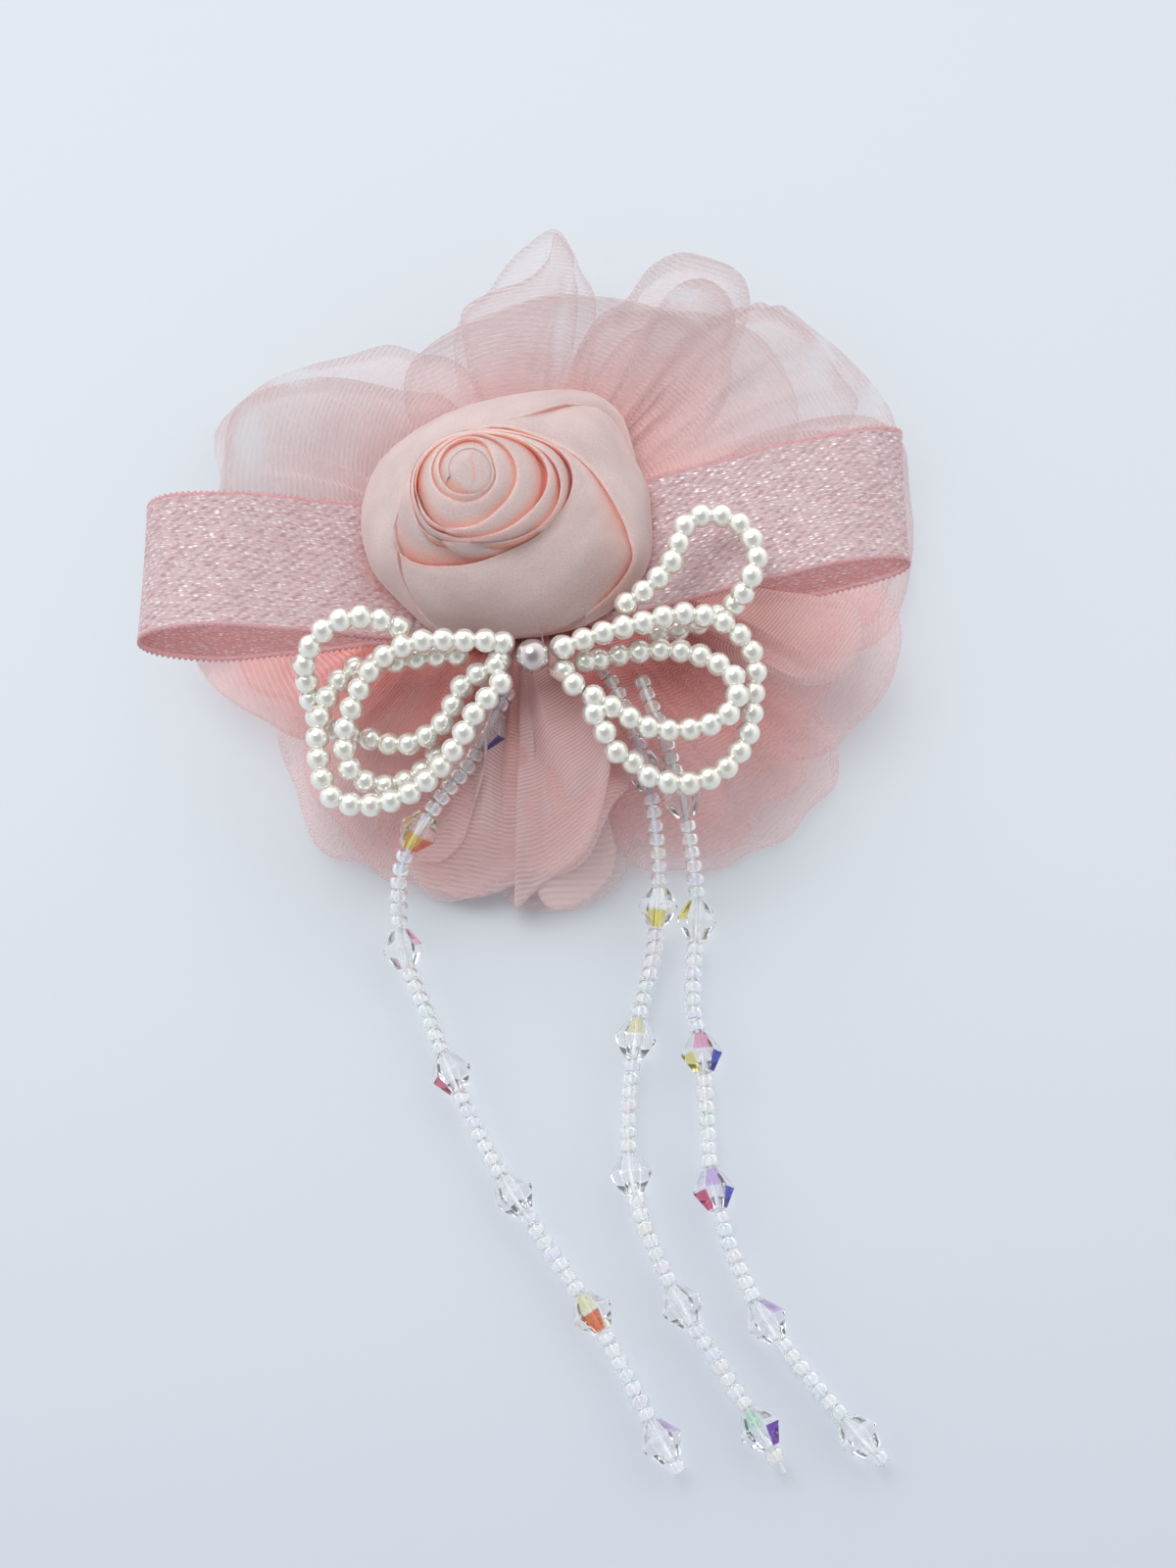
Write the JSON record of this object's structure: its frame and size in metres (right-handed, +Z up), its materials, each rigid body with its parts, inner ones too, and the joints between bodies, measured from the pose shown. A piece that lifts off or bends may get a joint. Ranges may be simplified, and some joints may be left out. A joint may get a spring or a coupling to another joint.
{
  "type": "flower hair clip",
  "caption": "Sprung duckbill hair clip under a felt disc that carries organza petals, a ribbon bow, a rolled satin rose, loops of pearls and dangling bead strands.",
  "frame": {"origin": "on the table under the middle of the flower's outline, without the bead strands", "axes": "+Z up from the table to the rose, +X to the finger end of the clip, -Y to the free ends of the strands"},
  "size_m": [0.118, 0.1972, 0.0353],
  "materials": {
    "clip_steel": "nickel plated",
    "spring_wire": "drawn wire",
    "felt": "matte felt",
    "organza": "sheer organza",
    "ribbon": "metallic twill",
    "satin": "crepe satin",
    "pearl": "pearlescent",
    "seed_glass": "iridescent clear",
    "crystal_glass": "iridescent facets"
  },
  "bodies": {
    "flower_and_arm": {"clip_arm": "clip_steel", "hinge_pin": "clip_steel", "torsion_spring": "spring_wire", "felt_base": "felt", "petal_top_left": "organza", "petal_top_tip": "organza", "petal_top_right": "organza", "petal_right_top": "organza", "petal_right": "organza", "petal_right_low": "organza", "petal_low_right": "organza", "petal_bottom_tip": "organza", "petal_bottom_front": "organza", "petal_low_left": "organza", "petal_left": "organza", "petal_top_front": "organza", "ribbon_bow": "ribbon", "satin_rose": "satin", "pearl_loop_left_upper": "pearl", "pearl_loop_left_middle": "pearl", "pearl_loop_left_lower": "pearl", "pearl_loop_right_upper": "pearl", "pearl_loop_right_outer": "pearl", "pearl_loop_right_inner": "pearl", "centre_pearl": "pearl", "crystal_left_1": "crystal_glass", "crystal_left_2": "crystal_glass", "crystal_left_3": "crystal_glass", "crystal_left_4": "crystal_glass", "crystal_left_5": "crystal_glass", "crystal_left_6": "crystal_glass", "crystal_left_7": "crystal_glass", "crystal_middle_1": "crystal_glass", "crystal_middle_2": "crystal_glass", "crystal_middle_3": "crystal_glass", "crystal_middle_4": "crystal_glass", "crystal_middle_5": "crystal_glass", "crystal_middle_6": "crystal_glass", "crystal_right_1": "crystal_glass", "crystal_right_2": "crystal_glass", "crystal_right_3": "crystal_glass", "crystal_right_4": "crystal_glass", "crystal_right_5": "crystal_glass", "crystal_right_6": "crystal_glass", "strand_left_seeds": "seed_glass", "strand_middle_seeds": "seed_glass", "strand_right_seeds": "seed_glass"},
    "jaw": {"clip_jaw": "clip_steel"}
  },
  "joints": [
    {"name": "jaw_hinge", "type": "hinge", "parent": "flower_and_arm", "child": "jaw", "pos_m": [0.009, -0.004, 0.0064], "axis": [0, -1, 0], "range_deg": [0, 25], "stiffness_Nm_per_rad": 0.15, "springref_deg": -45.84, "deforming": ["torsion_spring"]}
  ]
}
